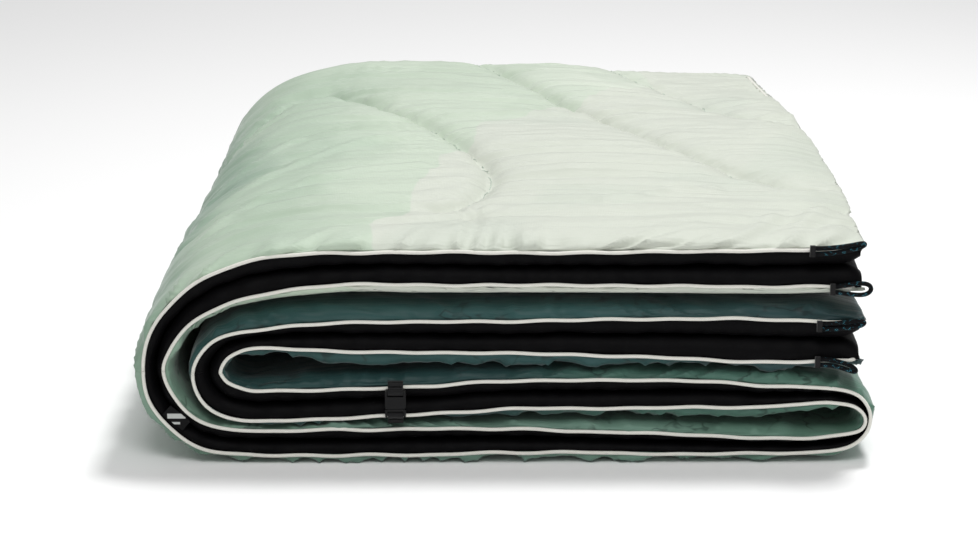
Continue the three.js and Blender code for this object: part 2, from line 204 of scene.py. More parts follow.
def tube_object(name, path, radius, sides, material):
    """A closed tube with end caps; its flat coordinates are the length along it and the way round it."""
    rings = tube_points(path, radius, sides)
    n = len(rings)
    run = np.concatenate([[0], np.cumsum(np.linalg.norm(np.diff(path, axis=0), axis=1))])
    i, j = np.meshgrid(np.arange(n - 1), np.arange(sides), indexing="ij")
    a, b = (i * sides + j).ravel(), (i * sides + (j + 1) % sides).ravel()
    faces = [tuple(f) for f in np.stack([a, b, b + sides, a + sides], axis=1)]
    faces += [tuple(range(sides))[::-1], tuple(range((n - 1) * sides, n * sides))]
    mesh = bpy.data.meshes.new(name)
    mesh.from_pydata(rings.reshape(-1, 3).tolist(), [], faces)
    layer = mesh.uv_layers.new(name="flat")
    mean_r = float(np.mean(radius))
    around = np.arange(sides) * 2 * math.pi * mean_r / sides
    for poly in mesh.polygons:
        poly.use_smooth = len(poly.vertices) == 4
        for li in poly.loop_indices:
            v = mesh.loops[li].vertex_index
            wrap = 2 * math.pi * mean_r if v % sides == 0 and (poly.vertices[1] % sides == 0) else 0
            layer.data[li].uv = (run[v // sides], around[v % sides] + wrap)
    mesh.materials.append(material)
    obj = bpy.data.objects.new(name, mesh)
    bpy.context.scene.collection.objects.link(obj)
    return obj


# ---------------------------------------------------------------- materials
class Nodes:
    """Short names for building a node material."""

    def __init__(self, name):
        self.material = bpy.data.materials.new(name)
        self.material.use_nodes = True
        self.tree = self.material.node_tree
        self.shader = next(n for n in self.tree.nodes if n.type == "BSDF_PRINCIPLED")

    def add(self, kind, inputs=(), **settings):
        node = self.tree.nodes.new(kind)
        for key, value in settings.items():
            setattr(node, key, value)
        for key, value in dict(inputs).items():
            self.put(node.inputs[key], value)
        return node

    def put(self, socket, value):
        if isinstance(value, bpy.types.NodeSocket):
            self.tree.links.new(value, socket)
        else:
            socket.default_value = value

    def set(self, **values):
        for key, value in values.items():
            self.put(self.shader.inputs[key.replace("_", " ")], value)

    def math(self, operation, a, b=None, c=None):
        node = self.add("ShaderNodeMath", operation=operation)
        for i, value in enumerate((a, b, c)):
            if value is not None:
                self.put(node.inputs[i], value)
        return node.outputs[0]

    def mix(self, factor, a, b, blend="MIX"):
        node = self.add("ShaderNodeMix", data_type="RGBA", blend_type=blend)
        self.put(node.inputs[0], factor)
        self.put(node.inputs[6], a)
        self.put(node.inputs[7], b)
        return node.outputs[2]

    def step(self, value, low, high):
        limits = {0: value, 1: low, 2: high}
        return self.add("ShaderNodeMapRange", limits, interpolation_type="SMOOTHSTEP").outputs[0]

    def flat(self):
        """The flat cloth coordinates: length along the strip and way across it, in metres."""
        uv = self.add("ShaderNodeUVMap", uv_map="flat").outputs[0]
        split = self.add("ShaderNodeSeparateXYZ", {0: uv})
        return uv, split.outputs[0], split.outputs[1]

    def noise(self, vector, scale, detail=2.0, rough=0.5):
        return self.add("ShaderNodeTexNoise", {"Vector": vector, "Scale": scale, "Detail": detail,
                                              "Roughness": rough}).outputs[0]

    def wave(self, vector, scale, direction, distortion=0.0):
        return self.add("ShaderNodeTexWave", {"Vector": vector, "Scale": scale, "Distortion": distortion},
                        bands_direction=direction).outputs[1]

    def bump(self, height, strength, distance, under=None):
        inputs = {"Height": height, "Strength": strength, "Distance": distance}
        if under is not None:
            inputs["Normal"] = under
        return self.add("ShaderNodeBump", inputs).outputs[0]


def rgb(r, g, b):
    """A display colour from 0 to 255 as linear light."""
    lin = [c / 255 / 12.92 if c / 255 <= 0.04045 else ((c / 255 + 0.055) / 1.055) ** 2.4 for c in (r, g, b)]
    return (*lin, 1.0)


def weave(n, uv, pitch, strength, distance, under=None):
    """Crossed threads of the given pitch."""
    scale = 2 * math.pi / (20 * pitch)
    height = n.math("ADD", n.wave(uv, scale, "X"), n.wave(uv, scale, "Y"))
    return n.bump(height, strength, distance, under)


# Where the white print ends, as (v, u): the flat length u for the way across v, in metres.
WHITE_EDGE = [
    (0.0, 0.318), (0.06, 0.321), (0.072, 0.301), (0.17, 0.295), (0.205, 0.289), (0.222, 0.279), (0.26, 0.275),
    (0.305, 0.251), (0.365, 0.247), (0.389, 0.218), (0.426, 0.193), (0.452, 0.167), (0.512, 0.137),
    (0.549, 0.093), (0.607, 0.106), (0.662, 0.124), (0.75, 0.17), (0.84, 0.15), (0.9, 0.22), (1.02, 0.25),
    (1.08, 0.31), (1.2, 0.29), (1.32, 0.34),
]
PRINT_LENGTH = 1.905
PRINT = [(0.0, (208, 214, 201)), (0.30, (189, 202, 184)), (0.40, (178, 196, 176)), (0.47, (134, 160, 141)),
         (0.56, (108, 138, 121)), (0.66, (96, 126, 112)), (0.82, (104, 136, 121)), (0.98, (94, 130, 113)),
         (1.12, (70, 108, 95)), (1.26, (28, 62, 62)), (1.50, (34, 70, 68)), (1.70, (42, 80, 79)),
         (1.90, (28, 56, 58))]


def printed_shell():
    n = Nodes("printed_shell")
    uv, u, v = n.flat()
    curve = n.add("ShaderNodeFloatCurve", {"Value": n.math("DIVIDE", v, WIDTH)})
    points = curve.mapping.curves[0].points
    for i, (across, along) in enumerate(WHITE_EDGE):
        x, y = across / WIDTH, along
        if i == 0:
            points[0].location = (x, y)
        elif i == len(WHITE_EDGE) - 1:
            points[len(points) - 1].location = (x, y)
        else:
            points.new(x, y)
    for p in points:
        p.handle_type = "VECTOR"
    curve.mapping.update()
    ragged = n.math("MULTIPLY_ADD", n.noise(uv, 13, 2, 0.5), 0.020, -0.013)
    edge = n.math("ADD", curve.outputs[0], ragged)
    white = n.step(n.math("SUBTRACT", edge, u), -0.0012, 0.0012)

    clouds = n.noise(uv, 5.5, 3, 0.55)
    moved = n.math("ADD", u, n.math("MULTIPLY_ADD", clouds, 0.16, -0.08))
    ramp = n.add("ShaderNodeValToRGB", {0: n.math("DIVIDE", moved, PRINT_LENGTH)})
    ramp.color_ramp.interpolation = "EASE"
    stops = ramp.color_ramp.elements
    for i, (along, colour) in enumerate(PRINT):
        e = stops[i] if i < 2 else stops.new(along / PRINT_LENGTH)
        e.position = along / PRINT_LENGTH
        e.color = rgb(*colour)
    # Painted washes: soft-edged patches a little lighter or darker than the ground.
    wash = n.step(n.noise(uv, 9, 2, 0.45), 0.47, 0.53)
    ground = n.mix(n.math("MULTIPLY", wash, 0.10), ramp.outputs[0], rgb(150, 178, 158), "MULTIPLY")
    pale = n.mix(n.math("MULTIPLY", n.step(n.noise(uv, 6, 2, 0.5), 0.50, 0.58), 0.35),
                 rgb(199, 204, 192), rgb(188, 197, 184))
    colour = n.mix(white, ground, pale)
    # The stretches that lie inside the folds are crushed harder, with stronger fold bumps below, and get
    # painted shade: thin dark lines painted along noise contours where their creases would hold shade.
    inside_folds = n.math("MAXIMUM", n.step(u, 0.75, 0.95), n.step(v, 0.60, 0.72))
    painted_crease_shade = n.step(n.math("ABSOLUTE", n.math("SUBTRACT", n.noise(uv, 22, 3, 0.6), 0.5)), 0.028, 0.0)
    painted_crease_shade = n.math("MULTIPLY", painted_crease_shade, n.step(n.noise(uv, 34, 2), 0.48, 0.60))
    painted_shade = n.math("MULTIPLY", n.math("MULTIPLY", painted_crease_shade, inside_folds), 0.65)
    # Painted shade: the colour is multiplied darker along these lines.
    colour = n.mix(painted_shade, colour, rgb(92, 100, 98), "MULTIPLY")
    n.set(Base_Color=colour, Roughness=0.52, Specular_IOR_Level=0.32, Sheen_Weight=0.22, Sheen_Roughness=0.45)
    folds = n.add("ShaderNodeTexNoise", {"Vector": uv, "Scale": 24, "Detail": 3, "Roughness": 0.55,
                                         "Distortion": 0.7}, noise_type="RIDGED_MULTIFRACTAL").outputs[0]
    # Fine streaks that run with the strip, where the thin cloth is gathered.
    drawn = n.add("ShaderNodeMapping", {"Vector": uv, "Scale": (9, 75, 1)}).outputs[0]
    folds = n.math("MULTIPLY", folds, n.math("MULTIPLY_ADD", inside_folds, 2.6, 1.0))
    streaks = n.bump(n.noise(drawn, 1, 3, 0.5), 0.55, 0.0034, n.bump(folds, 0.38, 0.0018))
    crinkle = n.bump(n.noise(uv, 120, 4, 0.6), 0.14, 0.0012, streaks)
    grid = weave(n, uv, 0.0011, 0.10, 0.0003, crinkle)
    n.set(Normal=grid)
    return n.material


def black_lining():
    n = Nodes("black_lining")
    uv, _, _ = n.flat()
    tint = n.mix(n.noise(uv, 18, 3), rgb(3, 3, 4), rgb(9, 8, 10))
    n.set(Base_Color=tint, Roughness=0.6, Specular_IOR_Level=0.08)
    crinkle = n.bump(n.noise(uv, 90, 4, 0.6), 0.25, 0.0012)
    n.set(Normal=weave(n, uv, 0.0010, 0.12, 0.0003, crinkle))
    return n.material


def woven_cloth(name, light, dark, pitch, roughness=0.7, strength=0.5):
    """A ribbed woven tape, cord or thread between two close colours."""
    n = Nodes(name)
    uv, _, _ = n.flat()
    turned = n.add("ShaderNodeMapping", {"Vector": uv, "Rotation": (0, 0, math.radians(38))}).outputs[0]
    scale = 2 * math.pi / (20 * pitch)
    ribs = n.wave(turned, scale, "X")
    n.set(Base_Color=n.mix(n.math("MULTIPLY", ribs, n.noise(uv, 400, 2)), rgb(*dark), rgb(*light)),
          Roughness=roughness, Specular_IOR_Level=0.25, Sheen_Weight=0.2)
    n.set(Normal=n.bump(ribs, strength, pitch * 0.4))
    return n.material


def flecked_cord():
    n = Nodes("flecked_cord")
    uv, _, _ = n.flat()
    left = n.add("ShaderNodeMapping", {"Vector": uv, "Rotation": (0, 0, math.radians(45))}).outputs[0]
    scale = 2 * math.pi / (20 * 0.0011)
    braid = n.math("MULTIPLY", n.wave(left, scale, "X"), n.wave(left, scale, "Y"))
    fleck = n.step(n.noise(left, 380, 1, 0.4), 0.58, 0.62)
    colour = n.mix(n.math("MULTIPLY", fleck, n.step(braid, 0.1, 0.4)), rgb(7, 8, 11), rgb(60, 124, 140))
    n.set(Base_Color=colour, Roughness=0.7, Specular_IOR_Level=0.15)
    n.set(Normal=n.bump(braid, 0.7, 0.0006))
    return n.material


def moulded_plastic():
    n = Nodes("moulded_plastic")
    place = n.add("ShaderNodeTexCoord").outputs["Object"]
    grain = n.noise(place, 2600, 3, 0.6)
    rub = n.step(n.noise(place, 260, 3), 0.5, 0.75)
    n.set(Base_Color=n.mix(n.math("MULTIPLY", rub, 0.5), rgb(6, 6, 7), rgb(13, 13, 14)),
          Roughness=n.math("MULTIPLY_ADD", grain, 0.2, 0.36), Specular_IOR_Level=0.22)
    n.set(Normal=n.bump(grain, 0.25, 0.00015))
    return n.material


def black_webbing():
    n = Nodes("black_webbing")
    place = n.add("ShaderNodeTexCoord").outputs["Object"]
    ribs = n.wave(place, 2 * math.pi / (20 * 0.0009), "Z")
    cross = n.wave(place, 2 * math.pi / (20 * 0.0006), "X")
    n.set(Base_Color=n.mix(n.math("MULTIPLY", ribs, cross), rgb(9, 9, 10), rgb(27, 27, 29)),
          Roughness=0.78, Specular_IOR_Level=0.25, Sheen_Weight=0.2)
    n.set(Normal=n.bump(n.math("ADD", ribs, cross), 0.6, 0.00035))
    return n.material


def plain_label():
    """A dark woven label with two pale bars and no lettering."""
    n = Nodes("plain_label")
    place = n.add("ShaderNodeTexCoord").outputs["Generated"]
    split = n.add("ShaderNodeSeparateXYZ", {0: place})
    across, up = split.outputs[0], split.outputs[2]

    def band(value, middle, half):
        return n.step(n.math("ABSOLUTE", n.math("SUBTRACT", value, middle)), half, half - 0.03)

    long_bar = n.math("MULTIPLY", band(up, 0.58, 0.11), band(across, 0.5, 0.34))
    short_bar = n.math("MULTIPLY", band(up, 0.30, 0.06), band(across, 0.40, 0.24))
    mark = n.math("MAXIMUM", long_bar, short_bar)
    n.set(Base_Color=n.mix(mark, rgb(12, 12, 13), rgb(196, 199, 196)), Roughness=0.75, Specular_IOR_Level=0.2)
    spot = n.add("ShaderNodeTexCoord").outputs["Object"]
    scale = 2 * math.pi / (20 * 0.0007)
    ribs = n.math("ADD", n.wave(spot, scale, "X"), n.wave(spot, scale, "Z"))
    n.set(Normal=n.bump(ribs, 0.4, 0.0002))
    return n.material


MATERIALS = {
    "shell": printed_shell(), "lining": black_lining(), "cord": flecked_cord(), "clip": moulded_plastic(),
    "piping": woven_cloth("piping_cloth", (246, 245, 238), (222, 221, 212), 0.0009, strength=0.25),
    "thread": woven_cloth("thread_black", (34, 34, 37), (10, 10, 11), 0.0005),
    "quilt_thread": woven_cloth("quilt_thread", (196, 207, 194), (172, 188, 175), 0.0004),
    "webbing": black_webbing(), "label": plain_label(),
}

# ---------------------------------------------------------------- camera, from the front and above
camera_data = bpy.data.cameras.new("camera")
camera_data.lens = 85.19
camera_data.sensor_width = 36
camera_data.clip_start, camera_data.clip_end = 0.05, 20
camera = bpy.data.objects.new("camera", camera_data)
camera.location = (-0.017, -1.7765, 0.5279)
camera.rotation_euler = (math.radians(90 - 15.367), 0, math.radians(-0.189))
bpy.context.scene.collection.objects.link(camera)
bpy.context.scene.camera = camera

# ---------------------------------------------------------------- corner loops, along the CAD routes
CORD_R = 0.0015
LOOP_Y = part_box("loop_tack_a")[0].y + 0.0012
TACK_W = 0.0034
PINCHED = 0.0019                # half the distance between a loop's legs at its tack
LOOPS = [
    ("a", "top_flap", 0.197, 0.1463, 0.0315, 0.0046, 0.0036, 7),
    ("b", "top_flap", 0.211, 0.1206, 0.0228, 0.0004, 0.0070, 1.4),
    ("c", "inner_flap", 0.2034, 0.0956, 0.0270, 0.0024, 0.0038, 3),
    ("d", "inner_flap", 0.203, 0.0712, 0.0233, -0.0060, 0.0038, 4),
]


def loop_route(x, z, reach, rise, opening, eye, count):
    a = np.linspace(0, math.pi, count)
    along = np.sin(a) ** 0.8
    across = np.cos(a) * (PINCHED + (opening - PINCHED) * along ** eye)
    return np.stack([x + TACK_W / 2 + 0.0003 + reach * along, np.full(count, LOOP_Y),
                     z + across + rise * along ** 2], axis=1)


def make_loops():
    for name, body, x, z, reach, rise, opening, eye in LOOPS:
        route = loop_route(x, z, reach, rise, opening, eye, 61)
        loop = tube_object(f"loop_{name}_cord", route, CORD_R, 14, MATERIALS["cord"])
        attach(loop, body)
        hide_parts(f"corner_loop_{name}")


make_loops()

# ---------------------------------------------------------------- quilting
# Sewn lines on the flat cloth, (u, v) in metres. The first three cross the top layer.
QUILT_LINES = [
    [(0.60, 0.30), (0.54, 0.33), (0.49, 0.37), (0.455, 0.43), (0.42, 0.495), (0.385, 0.515), (0.35, 0.48),
     (0.32, 0.43), (0.29, 0.38), (0.265, 0.315), (0.246, 0.255), (0.238, 0.205), (0.242, 0.165),
     (0.252, 0.135), (0.272, 0.108)],
    [(0.34, 0.74), (0.30, 0.685), (0.25, 0.63), (0.215, 0.56), (0.183, 0.475), (0.152, 0.415), (0.123, 0.355),
     (0.105, 0.305), (0.088, 0.265), (0.068, 0.225), (0.042, 0.19), (0.02, 0.172)],
    [(0.17, 0.72), (0.14, 0.655), (0.108, 0.585), (0.090, 0.55), (0.076, 0.52), (0.060, 0.47), (0.048, 0.437),
     (0.024, 0.404), (0.006, 0.388)],
]


def wavy_line(u0, v0, v1, phase):
    """A long sewn wave across the cloth, for the stretches that the folds hide."""
    v = np.linspace(v0, v1, 26)
    return list(zip(u0 + 0.045 * np.sin(v * 11 + phase) + 0.03 * np.sin(v * 23 + 2 * phase), v))


QUILT_LINES += [wavy_line(0.22, 0.84, 1.25, 0.4), wavy_line(0.47, 0.80, 1.24, 1.7)]
QUILT_LINES += [wavy_line(0.66 + 0.24 * k, 0.07, 1.25, 0.9 + 1.3 * k) for k in range(5)]


def line_distance(u, v, points):
    """Distance to a curve through the points, and the length along it there."""
    best, along = np.full(np.shape(u), 9.0), np.zeros(np.shape(u))
    run = 0.0
    p = spline(points, 5)
    for a, b in zip(p[:-1], p[1:]):
        d = b - a
        size = math.hypot(*d)
        t = clamp01(((u - a[0]) * d[0] + (v - a[1]) * d[1]) / size ** 2)
        dist = np.hypot(u - a[0] - t * d[0], v - a[1] - t * d[1])
        near = dist < best
        best = np.where(near, dist, best)
        along = np.where(near, run + t * size, along)
        run += size
    return best, along


def quilt_distance(u, v):
    """Distance to the nearest sewn line, and the length along it there."""
    best, along = np.full(u.shape, 9.0), np.zeros(u.shape)
    for k, line in enumerate(QUILT_LINES):
        dist, run = line_distance(u, v, line)
        along = np.where(dist < best, run + k, along)
        best = np.minimum(best, dist)
    return best, along


# ---------------------------------------------------------------- the quilt's surface
SHELL_NOSE = (0.024, 0.038, -0.26)      # depth, cloth length and starting angle of the rounded edge
LINING_NOSE = (0.009, 0.016, -0.30)
LINING_END = 0.009
END_NOSE = 0.030                        # length over which a flap thins to its end edge
BACK_BEND = 0.028


def nose_reach(u, side):
    """Share of the usual reach of the rounded edge: long under the top layer, short where layers meet."""
    under_top = smooth((SPLIT_TOP_U - 0.09 - u) / 0.08) * (side < 0)
    under_second = smooth((u - SPLIT_INNER_U - 0.03) / 0.06) * (side > 0)
    third_layer = smooth((u - RIGHT_FOLD_U - 0.04) / 0.05) * smooth((SPLIT_INNER_U - 0.05 - u) / 0.06)
    under_third = third_layer * (side < 0)
    return 1 + 3.2 * under_top - 0.5 * under_second - 0.45 * under_third


def edge_profile(w, low, high, depth, length, start):
    """(y, n) at cloth length w from the seam, rising from low at the seam to high."""
    a = start + (math.pi / 2 - start) * clamp01(w / length)
    swing = (high - low) / (1 - math.sin(start))
    y = SEAM_Y + depth * (math.cos(start) - np.cos(a))
    return y, high - swing * (1 - np.sin(a))


def surface(u, v, kind):
    """Points of the shell or lining at flat coordinates u and v, without the fine creases."""
    x, z, nx, nz, seam, outer, inner = PATH.at(u)
    side = np.where(v < WIDTH / 2, 1.0, -1.0)
    w = np.where(v < WIDTH / 2, v, WIDTH - v)
    full = np.where(side > 0, outer, inner)
    depth, length, start = SHELL_NOSE if kind == "shell" else LINING_NOSE
    if kind == "shell":
        crown = 0.13 * smooth((v - 0.05) / 0.4) * smooth((0.5 - u) / 0.1) * (side > 0)
        level = full * puff(u, v) * (1 + crown)
        back_r = BACK_BEND
        back_y = BACK_Y - BACK_BEND
        depth, length = depth * nose_reach(u, side), length * nose_reach(u, side)
    else:
        level = np.full(u.shape, LINING_LEVEL)
        back_r = LINING_LEVEL
        back_y = BACK_Y - 0.019
    y, n = edge_profile(w, seam, level, depth, length, start)
    flat_y = SEAM_Y + depth * math.cos(start)
    bend = math.pi / 2 * (back_r + 0.006 if kind == "shell" else back_r)
    share = clamp01((w - length) / (WIDTH / 2 - bend - length))
    y = np.where(w > length, flat_y + (back_y - flat_y) * share, y)
    beta = clamp01((w - (WIDTH / 2 - bend)) / bend) * math.pi / 2
    turning = w > WIDTH / 2 - bend
    y = np.where(turning, back_y + back_r * np.sin(beta), y)
    n = np.where(turning, level * np.cos(beta), n)
    # At a flap's end both cloths come to the end seam.
    end = np.minimum(u, PATH.length - u)
    ease = np.sqrt(1 - (1 - clamp01(end / (END_NOSE if kind == "shell" else LINING_END))) ** 2)
    edge = end_seam(seam, y)
    seam_n = np.where(turning, edge * np.cos(beta), np.minimum(edge, n) if kind == "shell" else edge)
    seam_y = np.where(turning, back_y + (back_r if kind == "shell" else 0.012) * 0.6 * np.sin(beta), y)
    n = seam_n + (n - seam_n) * ease
    y = np.where(turning, seam_y + (y - seam_y) * ease, y)
    bulge = (0.007 if kind == "shell" else 0.0045) * 4 * ease * (1 - ease)
    n = side * n
    return np.stack([x + nx * n + bulge + end_shift(u, y), y, z + nz * n], axis=-1)


def end_seam(seam, y):
    """A flap's end seam drops toward the middle plane away from the front corner."""
    return seam * (1 - 0.5 * smooth((y - SEAM_Y - 0.01) / 0.09))


def end_shift(u, y):
    """A flap's end bows outward along its depth and draws in at the back corner."""
    reach = np.maximum(smooth(1 - u / 0.15), 0.5 * smooth(1 - (PATH.length - u) / 0.15))
    return reach * (0.011 * smooth((y - SEAM_Y) / 0.19) - 0.014 * smooth((y - 0.08) / 0.27))


def outside(u, v):
    """1 where the shell faces out into the open, 0 where another layer presses on it."""
    top = smooth((0.86 - u) / 0.12) * (v < WIDTH / 2)
    fold = smooth(1 - np.abs(u - 1.06) / 0.06) * (v < WIDTH / 2)
    back = smooth(1 - np.abs(v - WIDTH / 2) / 0.06)
    return np.maximum(np.maximum(top, fold), back)


def puff(u, v):
    """Share of the full half thickness: the quilting pulls it in, and the fill crowns between the lines."""
    dist, _ = QUILT(u, v)
    valley = 0.72 * np.exp(-dist / 0.007) + 0.4 * np.exp(-dist / 0.034)
    valley = valley * (1 - 0.85 * smooth(1 - np.abs(v - WIDTH / 2) / 0.09))
    open_side = outside(u, v)
    broad = 0.09 * noise(u * 7, v * 7, 11) + 0.03 * noise(u * 16, v * 16, 12)
    corner = smooth((0.20 - u) / 0.20) * smooth((v - 0.30) / 0.27) * (v < WIDTH / 2)
    return (1 - (0.10 + 0.48 * open_side) * valley + broad * (0.15 + 0.85 * open_side)) * (1 - 0.63 * corner)


class QuiltField:
    """Looks up the quilting distance on a fine flat map made once."""

    def __init__(self):
        self.step = 0.004
        self.nu, self.nv = int(2.0 / self.step), int(WIDTH / self.step) + 2
        u, v = np.meshgrid(np.arange(self.nu) * self.step, np.arange(self.nv) * self.step, indexing="ij")
        self.dist, self.along = quilt_distance(u, v)

    def __call__(self, u, v):
        i, j = np.clip(u / self.step, 0, self.nu - 1.001), np.clip(v / self.step, 0, self.nv - 1.001)
        a, b = i.astype(int), j.astype(int)
        fi, fj = i - a, j - b
        d = self.dist
        dist = (d[a, b] * (1 - fi) * (1 - fj) + d[a + 1, b] * fi * (1 - fj)
                + d[a, b + 1] * (1 - fi) * fj + d[a + 1, b + 1] * fi * fj)
        return dist, self.along[a, b]


QUILT = QuiltField()


def ridged(x, y, seed):
    """Noise with rounded ridges and sharp valleys, from -1 to 1."""
    return 1 - 2 * np.abs(noise(x, y, seed)) ** 0.75


# Ridges where the cloth is pulled: down the big fold, and out of the front corner.
PULLS = [
    [(0.46, 0.145), (0.43, 0.19), (0.39, 0.24), (0.345, 0.29), (0.29, 0.33)],
    [(0.475, 0.21), (0.455, 0.25), (0.43, 0.285), (0.39, 0.33)],
    [(0.44, 0.10), (0.40, 0.155), (0.35, 0.195), (0.29, 0.225)],
    [(0.046, 0.012), (0.034, 0.05), (0.018, 0.10)],
    [(0.078, 0.012), (0.066, 0.04), (0.05, 0.075)],
    [(0.022, 0.02), (0.014, 0.05)],
    [(0.16, 0.115), (0.12, 0.14), (0.085, 0.155)],
]
INNER_CURVES = [(SPLIT_TOP_U, -1), (RIGHT_FOLD_U, -1), (SPLIT_INNER_U, 1)]


def creases(u, v):
    """Height of the fine creases, in metres, outward from the shell."""
    dist, along = QUILT(u, v)
    side = np.where(v < WIDTH / 2, 1, -1)
    w = np.minimum(v, WIDTH - v)
    end = np.minimum(u, PATH.length - u)
    open_side = outside(u, v)
    tight = sum(np.exp(-((u - at) / 0.10) ** 2) * (side == s) for at, s in INNER_CURVES)
    # Long soft creases that run with the strip, bent a little and broken up.
    lane = v * 92 + 2.6 * noise(u * 5, v * 6, 21) + 0.9 * noise(u * 13, v * 9, 22)
    long = ridged(lane, u * 6, 23) + 0.45 * ridged(lane * 1.9 + 7, u * 10, 24)
    height = 0.0021 * long * smooth((w - 0.02) / 0.05) * (0.75 + 0.45 * noise(u * 6, v * 9, 25))
    # Puckers that leave the piped edges, slanting either way and dying out inward.
    slant = u + w * (0.35 + 0.9 * noise(u * 9, 0 * u, 30) * side)
    rise = smooth((w - 0.001) / 0.013)
    hidden_side = (side < 0) * smooth((0.44 - u) / 0.04)
    puckers = ridged(slant * 74, w * 13, 31) * rise * np.exp(-w / 0.024)
    height += 0.0070 * (1 - 0.45 * tight - 0.8 * hidden_side) * puckers
    ripple = np.sin(2 * math.pi * slant / 0.0083 + 5 * noise(u * 25, w * 8, 32))
    height += 0.0012 * ripple * rise * np.exp(-w / 0.011)
    folds = noise(u * 38 + 2 * noise(u * 9, w * 9, 36), w * 26, 35) * rise * np.exp(-w / 0.045)
    height += 0.0036 * (1 - open_side) * (1 + 0.5 * tight - 0.8 * hidden_side) * folds
    rise = smooth((end - 0.001) / 0.012)
    height += 0.0034 * ridged((v + 0.4 * end) * 62, end * 13, 34) * rise * np.exp(-end / 0.024)
    # Short puckers across the sewn lines.
    gather = ridged(along * 95, dist * 16, 41)
    height += 0.0022 * gather * np.exp(-dist / 0.015) * smooth(dist / 0.004) * (0.3 + 0.7 * open_side)
    height += 0.0005 * noise(u * 55, v * 55, 51)
    for line in PULLS:
        d = line_distance(u, v, line)[0]
        height += 0.0030 * np.exp(-(d / 0.0065) ** 2) - 0.0014 * np.exp(-(d / 0.014) ** 2)
    # A star of creases where a tack pulls the cloth near the front edge, and a dimple on the big fold.
    for cu, cv, arms, depth, reach in [(0.252, 0.079, 9, 0.0045, 0.030), (0.475, 0.20, 7, 0.004, 0.018)]:
        r = np.hypot(u - cu, v - cv) + 1e-6
        around = np.arctan2(v - cv, u - cu)
        height += np.exp(-r / reach) * (-depth * np.exp(-r / 0.008) + 0.0018 * np.sin(arms * around + 1.3))
    return height * np.maximum(0.25 + 0.75 * open_side, np.exp(-w / 0.035))


def normals_of(points):
    du = np.gradient(points, axis=0)
    dv = np.gradient(points, axis=1)
    n = np.cross(dv, du)
    return n / np.maximum(np.linalg.norm(n, axis=-1), 1e-12)[..., None]


def graded(stops):
    """Values from a list of (start, end, step) stretches."""
    parts = [np.linspace(a, b, max(2, int(round((b - a) / s)) + 1))[:-1] for a, b, s in stops]
    return np.concatenate(parts + [[stops[-1][1]]])


PANELS = [
    ("top_flap", graded([(0, 0.03, 0.002), (0.03, SPLIT_TOP_U, 0.003)])),
    ("base", graded([(SPLIT_TOP_U, 0.72, 0.003), (0.72, 0.98, 0.004), (0.98, 1.12, 0.0025),
                     (1.12, SPLIT_INNER_U, 0.004)])),
    ("inner_flap", graded([(SPLIT_INNER_U, PATH.length - 0.03, 0.004),
                           (PATH.length - 0.03, PATH.length, 0.002)])),
]
HALF = WIDTH / 2


def across(fine):
    """Places across the cloth: close at both seams and at the back, and on the outer side if fine."""
    step = 0.003 if fine else 0.010
    return graded([(0, 0.045, 0.0018), (0.045, HALF - 0.06, step), (HALF - 0.06, HALF + 0.06, 0.003),
                   (HALF + 0.06, WIDTH - 0.045, 0.010), (WIDTH - 0.045, WIDTH, 0.0018)])


def settle(obj, body):
    """Rides on the base, or else has its transform baked into its mesh."""
    if body == "base":
        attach(obj, "base")
        return
    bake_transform(obj)


def make_cloth():
    for body, us in PANELS:
        vs = across(fine=body == "top_flap")
        u, v = np.meshgrid(us, vs, indexing="ij")
        p = surface(u, v, "shell")
        p = p + normals_of(p) * creases(u, v)[..., None]
        p[..., 2] = np.maximum(p[..., 2], 0.0)
        shell = mesh_object(f"quilted_shell_{body}", p.reshape(-1, 3), grid_faces(len(us), len(vs)),
                            np.stack([u, v], -1).reshape(-1, 2), MATERIALS["shell"])
        settle(shell, body)
        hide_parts(f"shell_{body}", f"batting_{body}")

        vs = graded([(0, 0.024, 0.0015), (0.024, HALF - 0.01, 0.02), (HALF - 0.01, HALF + 0.01, 0.0005),
                     (HALF + 0.01, WIDTH - 0.024, 0.02), (WIDTH - 0.024, WIDTH, 0.0015)])
        u, v = np.meshgrid(us, vs, indexing="ij")
        p = surface(u, v, "lining")
        w = np.minimum(v, WIDTH - v)
        tuck = np.sin(2 * math.pi * u / 0.021 + 6 * noise(u * 12, v * 3, 61))
        lift = 0.0012 * tuck * np.exp(-w / 0.010) * smooth(w / 0.003)
        lift = lift + 0.0008 * noise(u * 30, v * 40, 62) * (w < 0.02)
        p = p - normals_of(p) * lift[..., None]
        lining = mesh_object(f"black_lining_{body}", p.reshape(-1, 3), grid_faces(len(us), len(vs), True),
                             np.stack([u, v], -1).reshape(-1, 2), MATERIALS["lining"])
        settle(lining, body)
        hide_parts(f"lining_{body}")


make_cloth()


# ---------------------------------------------------------------- quilting thread in the top's lines
STITCH, STITCH_PITCH, THREAD_R = 0.0031, 0.0042, 0.00028


def shell_spots(u, v):
    """Points on the finished shell and the outward normals there."""
    step = 0.0005
    along = surface(u + step, v, "shell") - surface(u - step, v, "shell")
    across = surface(u, v + step, "shell") - surface(u, v - step, "shell")
    normal = np.cross(across, along)
    normal /= np.linalg.norm(normal, axis=-1)[..., None]
    return surface(u, v, "shell") + normal * creases(u, v)[..., None], normal


